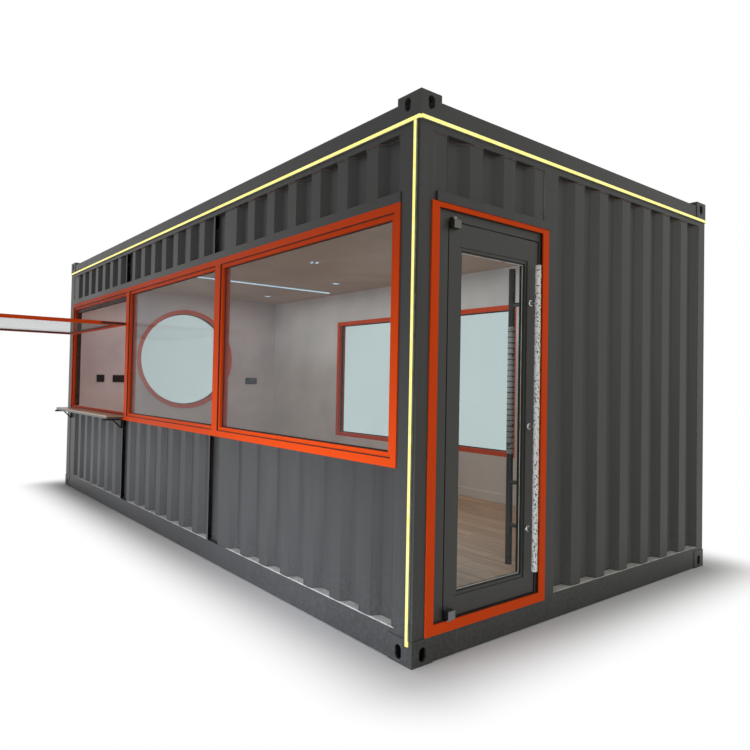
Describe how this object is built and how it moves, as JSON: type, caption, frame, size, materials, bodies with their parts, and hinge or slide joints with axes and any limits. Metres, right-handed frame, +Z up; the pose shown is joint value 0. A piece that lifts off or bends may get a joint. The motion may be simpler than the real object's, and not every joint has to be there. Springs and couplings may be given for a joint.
{
  "type": "container house",
  "caption": "Steel container house with corrugated walls, a glazed band with an open serving bay and shelf, and a glazed pivot door.",
  "frame": {"origin": "the middle of the underside of the part's box, on the ground", "axes": "X along the length with the door end at +X, Y across with the glazed side at -Y, Z up"},
  "size_m": [6.1044, 3.942, 2.591],
  "materials": {
    "grey_steel": "satin",
    "orange_steel": "satin",
    "dark_aluminium": "satin",
    "clear_glass": "gloss",
    "white_board": "matte",
    "floor_boards": "satin",
    "light_panel": "matte",
    "black_plastic": "gloss",
    "black_metal": "satin",
    "white_sleeve": "matte",
    "bare_steel": "brushed",
    "shelf_board": "satin"
  },
  "bodies": {
    "house": {"bottom_corner_castings": "grey_steel", "top_corner_castings": "grey_steel", "corner_posts": "grey_steel", "bottom_rails": "grey_steel", "top_rails": "grey_steel", "floor_cross_members": "grey_steel", "floor_deck": "floor_boards", "roof_sheet": "grey_steel", "ceiling_board": "white_board", "front_wall_columns": "grey_steel", "front_lower_panels": "grey_steel", "front_upper_panels": "grey_steel", "lintels": "grey_steel", "window_head_and_sill": "orange_steel", "window_uprights": "orange_steel", "window_glass": "clear_glass", "awning_sash": "orange_steel", "awning_glass": "clear_glass", "awning_stays": "bare_steel", "serving_shelf": "shelf_board", "shelf_brackets": "black_metal", "front_lining_strips": "white_board", "front_lining_ends": "white_board", "back_side_panels": "grey_steel", "back_window_panels": "grey_steel", "back_lining_sides": "white_board", "back_lining_strips": "white_board", "back_window_frame": "orange_steel", "back_window_glass": "clear_glass", "far_end_panel": "grey_steel", "far_end_lining": "white_board", "round_window_frame": "orange_steel", "round_window_glass": "clear_glass", "door_post": "grey_steel", "door_end_panels": "grey_steel", "door_end_lining": "white_board", "over_door_lining": "white_board", "door_threshold": "dark_aluminium", "door_surround_jambs": "orange_steel", "door_surround_bars": "orange_steel", "door_drip_strip": "grey_steel", "door_frame_jambs": "dark_aluminium", "door_frame_head": "dark_aluminium", "frame_pivots": "bare_steel", "light_strips": "light_panel", "ceiling_lights": "light_panel", "wall_sockets": "black_plastic", "skirting_boards": "white_board"},
    "door": {"door_leaf": "dark_aluminium", "door_glass": "clear_glass", "leaf_pivots": "bare_steel", "outside_handle_bar": "white_sleeve", "inside_handle_bar": "black_metal", "handle_standoffs": "bare_steel"}
  },
  "joints": [
    {"name": "door", "type": "hinge", "parent": "house", "child": "door", "pos_m": [3.01175, -0.61, 0.175], "axis": [0, 0, -1], "range_deg": [0, 90]}
  ]
}
